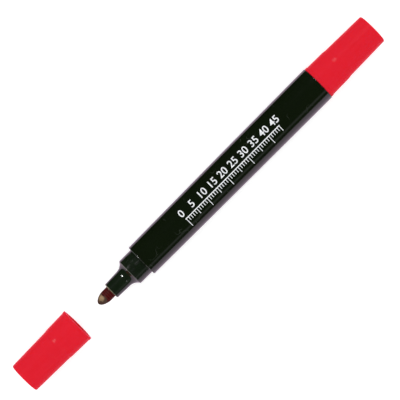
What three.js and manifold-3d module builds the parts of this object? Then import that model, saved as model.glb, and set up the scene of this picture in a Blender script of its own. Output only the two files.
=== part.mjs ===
// Permanent marker with a bullet nib, lying uncapped: a tapered barrel with a nose section, a long
// rear plug and an ink reservoir inside, and the hollow cap with its inner seal off in front of the nib.
// Millimetres, +Z up. Everything is turned about one axis along X, with the nib towards -X and the rear
// towards +X. The widest ring of the barrel touches the plane z = 0, and x = 0 is the middle of the whole.
import * as THREE from "three";
import { mergeVertices } from "three/addons/utils/BufferGeometryUtils.js";
import Module from "manifold-3d";

// Roundness: every turned piece has this many flat sides, one of them straight below the axis.
const SIDES = 48;
const CORNER_STEPS = 3;

// Running clearances, all radial unless they say otherwise.
const SLIP = 0.05; // a pressed or pushed fit
const SEAT_GAP = 0.05; // along the axis, between faces that bear on each other

// Nib: a bonded fibre rod with a bullet point, pushed through the nose into the reservoir.
const NIB_RADIUS = 2.2;
const NIB_STICK_OUT = 6.2; // tip to nozzle rim
const NIB_POINT_LENGTH = 3.8;
const NIB_POINT_FULLNESS = 1.6; // 2 is an ellipse, 1 a parabola
const NIB_POINT_STEPS = 7;
const NIB_BITE = 8.1; // how far the nib reaches into the reservoir
const NIB_TAIL_LENGTH = 2.0;
const NIB_TAIL_RADIUS = 0.9;

// Nose section: nozzle, hollow flare, collar for the cap, and a skirt inside the barrel.
const NOZZLE_LENGTH = 5.8;
const NOZZLE_WALL = 0.55; // at the rim, outside the grip ribs
const NOZZLE_DRAFT = 0.18; // radius gained from rim to flare
const NOZZLE_RIM_ROUND = 0.22;
const NOZZLE_MOUTH_LENGTH = 1.4; // close ring at the rim, in front of the ribs
const GRIP_RIB_COUNT = 6;
const GRIP_RIB_HEIGHT = 0.35;
const GRIP_RIB_WIDTH = 0.7;
const FLARE_LENGTH = 3.3;
const FLARE_STEPS = 7;
const COLLAR_RADIUS = 5.33;
const COLLAR_LENGTH = 5.7;
const COLLAR_EDGE = 0.14;
const SKIRT_LENGTH = 9.6; // behind the barrel's lip
const SKIRT_WALL = 0.95;
const SLEEVE_WALL = 0.55; // tube round the nib inside the skirt
const SLEEVE_SETBACK = 2.4; // from the skirt's rear end
const POCKET_FRONT_WALL = 1.4; // behind the collar's front edge

// Barrel: a tapered tube with a stop lip in front and ribs along the bore.
const BARREL_LENGTH = 86.3;
const BARREL_LIP_WALL = 0.97;
const BARREL_LIP_LENGTH = 2.0;
const BARREL_LIP_STEP = 0.18; // radius from the lip's bore to the main bore
const BARREL_SWELL = 0.52; // radius gained from front to rear
const BARREL_BULGE = 0.05; // above a straight taper, at half length
const BARREL_STEPS = 6;
const BARREL_REAR_WALL = 0.95;
const BARREL_FRONT_ROUND = 0.28;
const BARREL_REAR_ROUND = 0.12;
const BORE_RIB_COUNT = 6;
const BORE_RIB_HEIGHT = 0.28; // at the front of the bore
const BORE_RIB_WIDTH = 0.8;
const BORE_RIB_ROOT = 0.35; // how deep a rib's root lies in the wall
const BORE_RIB_END_GAP = 0.6; // from the skirt in front and the plug behind

// Reservoir: a cylinder of ink fibre in a film wrap, between the nose section and the plug.
const RESERVOIR_END_GAP = 0.3;
const WRAP_THICKNESS = 0.15;
const RIB_TO_WRAP = 0.1;
const NIB_SOCKET_CLEARANCE = 0.1;

// Outer form that the cap and the rear plug share, from the mouth to the closed end.
const MOUTH_RIM_WIDTH = 1.0;
const MOUTH_RIM_STEP = 0.12;
const MOUTH_EDGE = 0.15;
const STEP_STATION = 8.4; // mouth to the soft ring step
const STEP_HEIGHT = 0.16;
const STEP_LENGTH = 2.0;
const FRONT_TAPER = 0.14; // radius lost from rim to step
const REAR_TAPER = 0.34; // radius lost from step to closed end
const END_ROUND = 0.55;

// Cap: pushed over the nose section until its mouth meets the barrel.
const CAP_REST_GAP = 10.05; // nib tip to cap mouth, with the cap off
const CAP_CLEARANCE = 0.15; // bore over the collar
const CAP_MOUTH_WALL = 1.18;
const CAP_WALL = 1.1;
const CAP_END_WALL = 2.0;
const CAP_MOUTH_CHAMFER = 0.3;
const CAP_COLLAR_BORE_LENGTH = 7.0;
const SNAP_BEAD_STATION = 2.2; // mouth to the middle of the bead
const SNAP_BEAD_HALF_WIDTH = 0.6;
const SNAP_BEAD_CLEARANCE = 0.06; // over the collar

// Inner seal: a soft cup in the cap, closing on the nozzle.
const SEAL_CLEARANCE = 0.12; // over the nozzle
const SEAL_WALL = 0.7;
const SEAL_MOUTH_GAP = 0.35; // from the flare's foot to the seal's mouth, cap on
const SEAL_LEAD_IN = 0.4;
const SEAL_FLANGE_LENGTH = 1.2;
const SEAL_TIP_ROOM = 2.25; // ahead of the nib's tip
const SEAL_END_WALL = 1.0;
const SEAL_BORE_DRAFT = 0.06;

// Rear plug: a hollow cup with a spigot in the barrel's rear.
const PLUG_LENGTH = 26.7;
const PLUG_SPIGOT_LENGTH = 8.3;
const PLUG_SPIGOT_WALL = 1.0;
const PLUG_SPIGOT_CHAMFER = 0.3;
const PLUG_END_WALL = 1.7;
const PLUG_BORE_DRAFT = 0.15;

// Stations along the axis, counted from the nib's tip.
const NOZZLE_RIM_X = NIB_STICK_OUT;
const FLARE_X = NOZZLE_RIM_X + NOZZLE_LENGTH;
const COLLAR_X = FLARE_X + FLARE_LENGTH;
const BARREL_X = COLLAR_X + COLLAR_LENGTH;
const LIP_REAR_X = BARREL_X + BARREL_LIP_LENGTH;
const SKIRT_REAR_X = LIP_REAR_X + SKIRT_LENGTH;
const BARREL_REAR_X = BARREL_X + BARREL_LENGTH;
const PLUG_X = BARREL_REAR_X + SEAT_GAP;
const SPIGOT_FRONT_X = BARREL_REAR_X - PLUG_SPIGOT_LENGTH;
const RESERVOIR_X = SKIRT_REAR_X + RESERVOIR_END_GAP;
const RESERVOIR_LENGTH = SPIGOT_FRONT_X - RESERVOIR_END_GAP - RESERVOIR_X;
const REAR_END_X = PLUG_X + PLUG_LENGTH;

// Radii that follow from a neighbour's.
const NOZZLE_BORE_RADIUS = NIB_RADIUS + SLIP + GRIP_RIB_HEIGHT;
const NOZZLE_RIM_RADIUS = NOZZLE_BORE_RADIUS + NOZZLE_WALL;
const NOZZLE_FOOT_RADIUS = NOZZLE_RIM_RADIUS + NOZZLE_DRAFT;
const LIP_BORE_RADIUS = COLLAR_RADIUS + SLIP;
const BARREL_FRONT_RADIUS = LIP_BORE_RADIUS + BARREL_LIP_WALL;
const BARREL_REAR_RADIUS = BARREL_FRONT_RADIUS + BARREL_SWELL;
const BORE_FRONT_RADIUS = LIP_BORE_RADIUS + BARREL_LIP_STEP;
const BORE_REAR_RADIUS = BARREL_REAR_RADIUS - BARREL_REAR_WALL;
const WRAP_RADIUS = BORE_FRONT_RADIUS - BORE_RIB_HEIGHT - RIB_TO_WRAP;
const RESERVOIR_RADIUS = WRAP_RADIUS - WRAP_THICKNESS - SLIP;
const CAP_BORE_RADIUS = COLLAR_RADIUS + CAP_CLEARANCE;
const MOUTH_RIM_RADIUS = CAP_BORE_RADIUS + CAP_MOUTH_WALL;
const SEAL_BORE_RADIUS = NOZZLE_FOOT_RADIUS + SEAL_CLEARANCE;

// The cap's depths, counted from its mouth. With the cap on, its mouth lies SEAT_GAP off the barrel.
const NOSE_REACH = BARREL_X - SEAT_GAP;
const SEAL_MOUTH_DEPTH = NOSE_REACH - FLARE_X + SEAL_MOUTH_GAP;
const SEAL_END_DEPTH = NOSE_REACH + SEAL_TIP_ROOM + SEAL_END_WALL;
const CAP_LENGTH = SEAL_END_DEPTH + SEAT_GAP + CAP_END_WALL;
const CAP_MOUTH_X = -CAP_REST_GAP;

// Where the whole lies: the middle of its length, and its axis above the plane it rests on.
const MIDDLE_X = (CAP_MOUTH_X - CAP_LENGTH + REAR_END_X) / 2;
const HALF_SIDE_ANGLE = Math.PI / SIDES;
const WIDEST_RADIUS = Math.max(BARREL_REAR_RADIUS, MOUTH_RIM_RADIUS);
const AXIS_HEIGHT = WIDEST_RADIUS * Math.cos(HALF_SIDE_ANGLE);

const wasm = await Module();
wasm.setup();

// Points [x, r] on a circle's arc, from one angle to another; 0 points to +x and 90 degrees away from
// the axis.
function arc(centreX, centreR, radius, fromDegrees, toDegrees, steps) {
  const points = [];
  for (let i = 0; i <= steps; i += 1) {
    const angle = THREE.MathUtils.degToRad(THREE.MathUtils.lerp(fromDegrees, toDegrees, i / steps));
    points.push([centreX + radius * Math.cos(angle), centreR + radius * Math.sin(angle)]);
  }
  return points;
}

// A solid of revolution about X. The outline runs towards +x on the outside and back on the inside.
function turned(outline) {
  const profile = outline.map(([x, r]) => new THREE.Vector2(r, x));
  const geometry = new THREE.LatheGeometry(profile, SIDES, HALF_SIDE_ANGLE);
  return geometry.rotateZ(-Math.PI / 2);
}

// A tube of revolution: the outline closes on itself.
function turnedRing(outline) {
  return turned([...outline, outline[0]]);
}

// A closed geometry as a solid that can be joined and cut.
function solidOf(geometry) {
  const bare = geometry.clone();
  bare.deleteAttribute("normal");
  bare.deleteAttribute("uv");
  const merged = mergeVertices(bare, 1e-4);
  return new wasm.Manifold(
    new wasm.Mesh({
      numProp: 3,
      vertProperties: merged.attributes.position.array,
      triVerts: new Uint32Array(merged.index.array),
    }),
  );
}

function geometryOf(solid) {
  const { vertProperties, triVerts } = solid.getMesh();
  const geometry = new THREE.BufferGeometry();
  geometry.setAttribute("position", new THREE.BufferAttribute(new Float32Array(vertProperties), 3));
  geometry.setIndex(new THREE.BufferAttribute(new Uint32Array(triVerts), 1));
  geometry.computeVertexNormals();
  return geometry;
}

// Straight ribs inside a bore, evenly round the axis, each from innerRadius out to outerRadius.
function withRibs(tube, count, width, innerRadius, outerRadius, fromX, toX) {
  let solid = solidOf(tube);
  for (let i = 0; i < count; i += 1) {
    const rib = new THREE.BoxGeometry(toX - fromX, width, outerRadius - innerRadius);
    rib.translate((fromX + toX) / 2, 0, (innerRadius + outerRadius) / 2);
    rib.rotateX((2 * Math.PI * i) / count);
    solid = solid.add(solidOf(rib));
  }
  return geometryOf(solid);
}

// Bullet point: a blunt tip that swells to the full rod, then the rod and its bevelled tail.
function nibGeometry() {
  const length = RESERVOIR_X + NIB_BITE;
  const outline = [];
  for (let i = 0; i <= NIB_POINT_STEPS; i += 1) {
    const share = (i / NIB_POINT_STEPS) ** 2;
    const swell = Math.sqrt(1 - (1 - share) ** NIB_POINT_FULLNESS);
    outline.push([NIB_POINT_LENGTH * share, NIB_RADIUS * swell]);
  }
  outline.push([length - NIB_TAIL_LENGTH, NIB_RADIUS]);
  outline.push([length, NIB_TAIL_RADIUS]);
  outline.push([length, 0]);
  return turned(outline);
}

// The flare's hollow curve: it leaves the nozzle along the axis and opens out to the collar's edge.
function flareOutline() {
  const rise = COLLAR_RADIUS - COLLAR_EDGE - NOZZLE_FOOT_RADIUS;
  const radius = (FLARE_LENGTH ** 2 + rise ** 2) / (2 * rise);
  const turn = THREE.MathUtils.radToDeg(Math.asin(FLARE_LENGTH / radius));
  return arc(FLARE_X, NOZZLE_FOOT_RADIUS + radius, radius, -90, turn - 90, FLARE_STEPS);
}

// One moulding, its x counted from the nib's tip: the flange of the skirt bears on the barrel's lip from
// behind, and the sleeve grips the nib on ribs, between which air passes.
function noseGeometry() {
  const skirtRadius = BORE_FRONT_RADIUS - SLIP;
  const skirtInside = skirtRadius - SKIRT_WALL;
  const sleeveRadius = NOZZLE_BORE_RADIUS + SLEEVE_WALL;
  const sleeveRearX = SKIRT_REAR_X - SLEEVE_SETBACK;
  const pocketX = COLLAR_X + POCKET_FRONT_WALL;
  const mouthRadius = NIB_RADIUS + 2 * SLIP;
  const ribFrontX = NOZZLE_RIM_X + NOZZLE_MOUTH_LENGTH;
  const roundX = NOZZLE_RIM_X + NOZZLE_RIM_ROUND;
  const roundRadius = NOZZLE_RIM_RADIUS - NOZZLE_RIM_ROUND;
  const outline = [
    [NOZZLE_RIM_X, mouthRadius],
    ...arc(roundX, roundRadius, NOZZLE_RIM_ROUND, 180, 90, CORNER_STEPS),
    ...flareOutline(),
    [COLLAR_X + COLLAR_EDGE, COLLAR_RADIUS],
    [LIP_REAR_X + SEAT_GAP, COLLAR_RADIUS],
    [LIP_REAR_X + SEAT_GAP, skirtRadius],
    [SKIRT_REAR_X, skirtRadius],
    [SKIRT_REAR_X, skirtInside],
    [pocketX, skirtInside],
    [pocketX, sleeveRadius],
    [sleeveRearX, sleeveRadius],
    [sleeveRearX, NOZZLE_BORE_RADIUS],
    [ribFrontX, NOZZLE_BORE_RADIUS],
    [ribFrontX, mouthRadius],
  ];
  const rootRadius = NOZZLE_BORE_RADIUS + SLEEVE_WALL / 2;
  const tube = turnedRing(outline);
  const gripRadius = NIB_RADIUS + SLIP;
  const ribRearX = sleeveRearX - GRIP_RIB_WIDTH;
  const ribStartX = ribFrontX - NOZZLE_MOUTH_LENGTH / 2;
  return withRibs(tube, GRIP_RIB_COUNT, GRIP_RIB_WIDTH, gripRadius, rootRadius, ribStartX, ribRearX);
}

// Radius of the barrel's bore at a distance behind its front edge.
function boreRadiusAt(distance) {
  return THREE.MathUtils.lerp(BORE_FRONT_RADIUS, BORE_REAR_RADIUS, distance / BARREL_LENGTH);
}

// The barrel's x is counted from its front edge. Its outside is a long shallow curve.
function barrelGeometry() {
  const frontRound = BARREL_FRONT_ROUND;
  const outline = [[0, LIP_BORE_RADIUS]];
  outline.push(...arc(frontRound, BARREL_FRONT_RADIUS - frontRound, frontRound, 180, 90, CORNER_STEPS));
  for (let i = 1; i < BARREL_STEPS; i += 1) {
    const share = i / BARREL_STEPS;
    const bulge = 4 * BARREL_BULGE * share * (1 - share);
    outline.push([BARREL_LENGTH * share, BARREL_FRONT_RADIUS + BARREL_SWELL * share + bulge]);
  }
  outline.push([BARREL_LENGTH - BARREL_REAR_ROUND, BARREL_REAR_RADIUS]);
  outline.push([BARREL_LENGTH, BARREL_REAR_RADIUS - BARREL_REAR_ROUND]);
  outline.push([BARREL_LENGTH, BORE_REAR_RADIUS]);
  outline.push([BARREL_LIP_LENGTH, boreRadiusAt(BARREL_LIP_LENGTH)]);
  outline.push([BARREL_LIP_LENGTH, LIP_BORE_RADIUS]);
  const ribFront = SKIRT_REAR_X - BARREL_X + BORE_RIB_END_GAP;
  const ribRear = SPIGOT_FRONT_X - BARREL_X - BORE_RIB_END_GAP;
  const ribInside = WRAP_RADIUS + RIB_TO_WRAP;
  const ribRoot = boreRadiusAt(ribRear) + BORE_RIB_ROOT - BARREL_SWELL / 2;
  const tube = turnedRing(outline);
  return withRibs(tube, BORE_RIB_COUNT, BORE_RIB_WIDTH, ribInside, ribRoot, ribFront, ribRear);
}

// The fibre cylinder, its x counted from its front face, with the socket that the nib's tail opens.
function reservoirGeometry() {
  const socket = NIB_RADIUS + NIB_SOCKET_CLEARANCE;
  const socketDepth = NIB_BITE + NIB_SOCKET_CLEARANCE;
  return turned([
    [socketDepth, 0],
    [socketDepth, socket],
    [0, socket],
    [0, RESERVOIR_RADIUS],
    [RESERVOIR_LENGTH, RESERVOIR_RADIUS],
    [RESERVOIR_LENGTH, 0],
  ]);
}

// Film sleeve round the fibre, open at both ends.
function wrapGeometry() {
  return turnedRing([
    [0, WRAP_RADIUS],
    [RESERVOIR_LENGTH, WRAP_RADIUS],
    [RESERVOIR_LENGTH, WRAP_RADIUS - WRAP_THICKNESS],
    [0, WRAP_RADIUS - WRAP_THICKNESS],
  ]);
}

// Outer radius of the cap's and the plug's shared form at a depth from the mouth, past the rim.
function formRadiusAt(depth, length) {
  const front = MOUTH_RIM_RADIUS - MOUTH_RIM_STEP;
  if (depth <= STEP_STATION) {
    return front - FRONT_TAPER * (depth / STEP_STATION);
  }
  const share = (depth - STEP_STATION) / (length - STEP_STATION);
  return front - FRONT_TAPER - STEP_HEIGHT - REAR_TAPER * share;
}

// Outline [depth, r] of the shared outer form, from the mouth's edge to the axis at the closed end.
function formOutline(length) {
  const endRadius = formRadiusAt(length, length);
  return [
    [0, MOUTH_RIM_RADIUS - MOUTH_EDGE],
    [MOUTH_EDGE, MOUTH_RIM_RADIUS],
    [MOUTH_RIM_WIDTH, MOUTH_RIM_RADIUS],
    [MOUTH_RIM_WIDTH + MOUTH_RIM_STEP, formRadiusAt(MOUTH_RIM_WIDTH, length)],
    [STEP_STATION, formRadiusAt(STEP_STATION, length)],
    [STEP_STATION + STEP_LENGTH, formRadiusAt(STEP_STATION + STEP_LENGTH, length)],
    ...arc(length - END_ROUND, endRadius - END_ROUND, END_ROUND, 90, 0, CORNER_STEPS),
    [length, 0],
  ];
}

// The plug's x is counted from its mouth, which bears on the barrel's rear edge.
function plugGeometry() {
  const spigotRadius = boreRadiusAt(BARREL_LENGTH - PLUG_SPIGOT_LENGTH) - SLIP;
  const spigotInside = spigotRadius - PLUG_SPIGOT_WALL;
  const spigotX = SPIGOT_FRONT_X - PLUG_X;
  return turned([
    [PLUG_LENGTH - PLUG_END_WALL, 0],
    [PLUG_LENGTH - PLUG_END_WALL, spigotInside - PLUG_BORE_DRAFT],
    [spigotX, spigotInside],
    [spigotX, spigotRadius - PLUG_SPIGOT_CHAMFER],
    [spigotX + PLUG_SPIGOT_CHAMFER, spigotRadius],
    [0, spigotRadius],
    ...formOutline(PLUG_LENGTH),
  ]);
}

// Radius of the cap's bore behind the part that slides over the collar.
function capDeepBoreAt(depth) {
  return formRadiusAt(depth, CAP_LENGTH) - CAP_WALL;
}

// The cap's x is counted from its mouth and falls towards its closed end, which faces -X.
function capGeometry() {
  const beadRadius = COLLAR_RADIUS + SNAP_BEAD_CLEARANCE;
  const endDepth = CAP_LENGTH - CAP_END_WALL;
  const bore = [
    [0, CAP_BORE_RADIUS + CAP_MOUTH_CHAMFER],
    [CAP_MOUTH_CHAMFER, CAP_BORE_RADIUS],
    [SNAP_BEAD_STATION - SNAP_BEAD_HALF_WIDTH, CAP_BORE_RADIUS],
    [SNAP_BEAD_STATION, beadRadius],
    [SNAP_BEAD_STATION + SNAP_BEAD_HALF_WIDTH, CAP_BORE_RADIUS],
    [CAP_COLLAR_BORE_LENGTH, CAP_BORE_RADIUS],
    [CAP_COLLAR_BORE_LENGTH, capDeepBoreAt(STEP_STATION + STEP_LENGTH)],
    [STEP_STATION + STEP_LENGTH, capDeepBoreAt(STEP_STATION + STEP_LENGTH)],
    [endDepth, capDeepBoreAt(endDepth)],
    [endDepth, 0],
  ];
  const outside = formOutline(CAP_LENGTH).reverse();
  return turned([...outside, ...bore].map(([depth, r]) => [-depth, r]));
}

// The seal's x also falls from the cap's mouth. A flange holds it in the cap, its back rests on the
// cap's end wall, and its bore closes on the nozzle.
function sealGeometry() {
  const outside = SEAL_BORE_RADIUS + SEAL_WALL;
  const flangeEnd = SEAL_MOUTH_DEPTH + SEAL_FLANGE_LENGTH;
  const boreEnd = SEAL_END_DEPTH - SEAL_END_WALL;
  const outline = [
    [SEAL_END_DEPTH, 0],
    [SEAL_END_DEPTH, outside],
    [flangeEnd, outside],
    [flangeEnd, capDeepBoreAt(flangeEnd) - SLIP],
    [SEAL_MOUTH_DEPTH, capDeepBoreAt(flangeEnd) - SLIP],
    [SEAL_MOUTH_DEPTH, SEAL_BORE_RADIUS + SEAL_LEAD_IN],
    [SEAL_MOUTH_DEPTH + SEAL_LEAD_IN, SEAL_BORE_RADIUS],
    [boreEnd, SEAL_BORE_RADIUS - SEAL_BORE_DRAFT],
    [boreEnd, 0],
  ];
  return turned(outline.map(([depth, r]) => [-depth, r]));
}

function plastic(colour, roughness) {
  return new THREE.MeshStandardMaterial({ color: colour, roughness, metalness: 0 });
}

// A named piece whose own origin lies at station x on the axis.
function piece(name, geometry, material, x) {
  const mesh = new THREE.Mesh(geometry, material);
  mesh.name = name;
  mesh.position.x = x;
  return mesh;
}

const blackGloss = plastic(0x0e1609, 0.2);
const noseGloss = plastic(0x10190d, 0.28);
const redGloss = plastic(0xe12231, 0.35);

const marker = new THREE.Group();
marker.add(piece("nib", nibGeometry(), plastic(0x5a1218, 0.75), 0));
marker.add(piece("nose_section", noseGeometry(), noseGloss, 0));
marker.add(piece("barrel", barrelGeometry(), blackGloss, BARREL_X));
marker.add(piece("ink_reservoir", reservoirGeometry(), plastic(0x9c1a28, 0.9), RESERVOIR_X));
marker.add(piece("reservoir_wrap", wrapGeometry(), plastic(0xe9dfe0, 0.4), RESERVOIR_X));
marker.add(piece("rear_plug", plugGeometry(), redGloss, PLUG_X));

const cap = new THREE.Group();
cap.position.x = CAP_MOUTH_X;
cap.add(piece("cap_shell", capGeometry(), redGloss.clone(), 0));
cap.add(piece("cap_inner_seal", sealGeometry(), plastic(0xe8e6df, 0.5), 0));

const whole = new THREE.Group();
whole.position.set(-MIDDLE_X, 0, AXIS_HEIGHT);
whole.add(marker, cap);

export default whole;
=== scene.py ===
# A permanent marker with a bullet nib, lying uncapped on a white table: a long black barrel with a red
# rear plug, and the red cap off in front of the nib. Metres; the marker's axis runs along X.
from math import asin, atan2, cos, hypot, pi, radians, sin, sqrt

import bmesh
import bpy
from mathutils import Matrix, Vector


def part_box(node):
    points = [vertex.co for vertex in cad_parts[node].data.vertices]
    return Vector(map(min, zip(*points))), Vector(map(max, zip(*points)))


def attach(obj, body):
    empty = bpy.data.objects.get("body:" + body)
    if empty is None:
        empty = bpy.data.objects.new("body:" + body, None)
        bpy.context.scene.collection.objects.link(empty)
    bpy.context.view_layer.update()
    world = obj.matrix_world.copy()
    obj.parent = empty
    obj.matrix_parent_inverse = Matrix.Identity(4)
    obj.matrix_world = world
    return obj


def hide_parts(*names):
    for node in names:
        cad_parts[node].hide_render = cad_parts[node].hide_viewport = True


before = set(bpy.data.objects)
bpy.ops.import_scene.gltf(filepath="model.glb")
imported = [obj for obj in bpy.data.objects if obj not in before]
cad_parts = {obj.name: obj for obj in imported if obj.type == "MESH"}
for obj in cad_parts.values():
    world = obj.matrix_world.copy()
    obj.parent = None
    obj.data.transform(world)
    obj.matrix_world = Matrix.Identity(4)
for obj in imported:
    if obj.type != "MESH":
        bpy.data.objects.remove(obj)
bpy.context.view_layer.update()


# Barrel
# A long tapered tube of black polypropylene, injection moulded in one shot against polished steel. A lip
# inside its front end stops the nose section, and six low ribs along its bore hold the ink reservoir.
MM = 0.001
SIDES = 144  # of every turned piece
CAD_SIDES = 48  # of every solid
ROUND_FIT = cos(pi / CAD_SIDES)  # keeps a piece inside its solid, whose flats lie this much nearer the axis
NEAR = 2e-6  # metres, for finding an edge by its place
EDGE_STEPS = 5
RIB_EDGE_STEPS = 3
SMOOTH_ANGLE = radians(32)  # sharper edges stay sharp

BARREL_LENGTH = 86.3
BARREL_FRONT_RADIUS = 6.35
BARREL_SWELL = 0.52  # radius gained from front to rear
BARREL_BULGE = 0.05  # above a straight taper, at half length
BARREL_STATIONS = 24
BARREL_FRONT_EDGE = 0.28  # softened width
BARREL_EDGE = 0.12
LIP_BORE = 5.38
LIP_LENGTH = 2.0
BORE_FRONT = 5.56
BORE_REAR = 5.92
BORE_RIB_INSIDE = 5.28
BORE_RIB_ROOT = 5.97
BORE_RIB_WIDTH = 0.8
BORE_RIBS = 6
BORE_RIB_FRONT = 12.2
BORE_RIB_REAR = 77.4

barrel_low, barrel_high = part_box("barrel")
BARREL_X = barrel_low[0]
AXIS_Z = (barrel_low[2] + barrel_high[2]) / 2


def deselect_everything():
    bpy.ops.object.select_all(action="DESELECT")


def select_ring(piece, x, radius):
    """In edit mode, selects the ring of edges of a turned piece that lies at this place, and nothing else."""
    mesh = bmesh.from_edit_mesh(piece.data)
    for part in (*mesh.faces, *mesh.edges, *mesh.verts):
        part.select_set(False)
    for edge in mesh.edges:
        if all(
            abs(v.co.x - x) < NEAR and abs(hypot(v.co.y, v.co.z - AXIS_Z) - radius) < NEAR
            for v in edge.verts
        ):
            edge.select_set(True)
    bmesh.update_edit_mesh(piece.data)


def turn(name, start_x, outline, toward=1, rounds=()):
    """Turns a piece about the marker's axis, one ring after another. The outline holds depths from start_x
    and radii in mm. One that starts and ends at radius 0 is closed there, and any other one closes on
    itself as a tube. Rounds are the corners to soften: depth, radius and the softened width."""

    def at(depth):
        return start_x + toward * depth * MM

    on_axis = outline[0][1] == 0
    rings = outline[1:-1] if on_axis else outline
    deselect_everything()
    depth, radius = rings[0]
    bpy.ops.mesh.primitive_circle_add(
        vertices=SIDES,
        radius=radius * MM * ROUND_FIT,
        location=(at(depth), 0, AXIS_Z),
        rotation=(0, pi / 2, 0),
    )
    piece = bpy.context.object
    piece.name = piece.data.name = name
    bpy.ops.object.transform_apply(location=True, rotation=True, scale=True)
    bpy.ops.object.mode_set(mode="EDIT")
    bpy.ops.mesh.select_mode(type="VERT")
    bpy.ops.mesh.select_all(action="SELECT")
    for (last_depth, last_radius), (depth, radius) in zip(rings, rings[1:]):
        step = at(depth) - at(last_depth)
        grow = radius / last_radius
        bpy.ops.mesh.extrude_region_move(TRANSFORM_OT_translate={"value": (step, 0, 0)})
        bpy.ops.transform.resize(value=(1, grow, grow), center_override=(at(depth), 0, AXIS_Z))
    if on_axis:
        for pole, ring in ((outline[-1][0], rings[-1][0]), (outline[0][0], rings[0][0])):
            bpy.ops.mesh.extrude_region_move(TRANSFORM_OT_translate={"value": (at(pole) - at(ring), 0, 0)})
            bpy.ops.mesh.merge(type="CENTER")
            bpy.ops.mesh.select_all(action="DESELECT")
            bpy.ops.mesh.select_non_manifold()
    else:
        bpy.ops.mesh.select_all(action="DESELECT")
        bpy.ops.mesh.select_non_manifold()
        bpy.ops.mesh.bridge_edge_loops()
    for depth, radius, width in rounds:
        select_ring(piece, at(depth), radius * MM * ROUND_FIT)
        bpy.ops.mesh.bevel(offset=width * MM, segments=EDGE_STEPS, profile=0.5, affect="EDGES")
    bpy.ops.mesh.select_all(action="SELECT")
    bpy.ops.mesh.normals_make_consistent(inside=False)
    bpy.ops.object.mode_set(mode="OBJECT")
    return piece


def apply_modifier(piece, kind, **settings):
    """Adds one modifier with its settings and applies it."""
    deselect_everything()
    bpy.context.view_layer.objects.active = piece
    piece.select_set(True)
    modifier = piece.modifiers.new(kind.lower(), kind)
    for setting, value in settings.items():
        setattr(modifier, setting, value)
    bpy.ops.object.modifier_apply(modifier=modifier.name)


def add_bore_ribs(piece, count, width, inside, root, front_x, rear_x):
    """Joins straight ribs into a bore, evenly round the axis: one is made, and the rest are its copies. They
    run from front_x to rear_x, in metres, and their other sizes are in mm."""
    deselect_everything()
    length = rear_x - front_x
    bpy.ops.mesh.primitive_cube_add(
        size=1,
        location=(front_x + length / 2, 0, AXIS_Z + (inside + root) / 2 * MM),
        scale=(length, width * MM, (root - inside) * MM),
    )
    rib = bpy.context.object
    bpy.ops.object.transform_apply(location=True, rotation=True, scale=True)
    bpy.ops.object.mode_set(mode="EDIT")
    mesh = bmesh.from_edit_mesh(rib.data)
    for edge in mesh.edges:
        edge.select_set(all(abs(v.co.z - AXIS_Z - inside * MM) < NEAR for v in edge.verts))
    bmesh.update_edit_mesh(rib.data)
    bpy.ops.mesh.bevel(offset=width * MM / 5, segments=RIB_EDGE_STEPS, affect="EDGES")
    bpy.ops.object.mode_set(mode="OBJECT")
    ribs = [rib]
    for turn_number in range(1, count):
        deselect_everything()
        bpy.context.view_layer.objects.active = rib
        rib.select_set(True)
        bpy.ops.object.duplicate()
        copy = bpy.context.object
        bpy.ops.object.mode_set(mode="EDIT")
        bpy.ops.mesh.select_all(action="SELECT")
        bpy.ops.transform.rotate(
            value=2 * pi * turn_number / count, orient_axis="X", center_override=(0, 0, AXIS_Z)
        )
        bpy.ops.object.mode_set(mode="OBJECT")
        ribs.append(copy)
    for copy in ribs:
        copy.select_set(True)
    bpy.context.view_layer.objects.active = rib
    bpy.ops.object.join()
    apply_modifier(piece, "BOOLEAN", operation="UNION", solver="EXACT", object=rib)
    deselect_everything()
    rib.select_set(True)
    bpy.ops.object.delete()


def finish_surface(piece):
    """Smooth shading that keeps flat faces flat beside a softened edge."""
    deselect_everything()
    bpy.context.view_layer.objects.active = piece
    piece.select_set(True)
    bpy.ops.object.shade_smooth_by_angle(angle=SMOOTH_ANGLE)
    apply_modifier(piece, "WEIGHTED_NORMAL", keep_sharp=True)


def barrel_radius(share):
    """Outer radius of the barrel in mm at a share of its length."""
    return BARREL_FRONT_RADIUS + BARREL_SWELL * share + 4 * BARREL_BULGE * share * (1 - share)


barrel_outline = [(0, LIP_BORE)]
for station in range(BARREL_STATIONS + 1):
    share = station / BARREL_STATIONS
    barrel_outline.append((BARREL_LENGTH * share, barrel_radius(share)))
barrel_outline += [
    (BARREL_LENGTH, BORE_REAR),
    (LIP_LENGTH, BORE_FRONT),
    (LIP_LENGTH, LIP_BORE),
]
barrel = turn(
    "barrel_tube",
    BARREL_X,
    barrel_outline,
    rounds=[
        (0, BARREL_FRONT_RADIUS, BARREL_FRONT_EDGE),
        (0, LIP_BORE, BARREL_EDGE),
        (BARREL_LENGTH, barrel_radius(1), BARREL_EDGE),
        (BARREL_LENGTH, BORE_REAR, BARREL_EDGE),
    ],
)
add_bore_ribs(
    barrel,
    count=BORE_RIBS,
    width=BORE_RIB_WIDTH,
    inside=BORE_RIB_INSIDE,
    root=BORE_RIB_ROOT,
    front_x=BARREL_X + BORE_RIB_FRONT * MM,
    rear_x=BARREL_X + BORE_RIB_REAR * MM,
)
finish_surface(barrel)
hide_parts("barrel")
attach(barrel, "marker")

# Black polypropylene off a polished mould. The eye gets a deep black with a faint green cast and a slow
# waviness in its mirror-like gloss. The front edge is duller with wear and painted pale, partly wear and
# partly a painted highlight of the rounded rim, and there are a few curved scuffs and fine lengthwise
# scratches. A real one is a hair's width, and these are drawn 0.2 mm wide or more so that they show.
PER_MM = 1000  # a noise scale of PER_MM / size gives features of that size in mm


def linear(hex_colour):
    """The linear colour of an sRGB hex value."""
    shares = [int(hex_colour[i : i + 2], 16) / 255 for i in (1, 3, 5)]
    return (*[c / 12.92 if c <= 0.04045 else ((c + 0.055) / 1.055) ** 2.4 for c in shares], 1.0)


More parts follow.
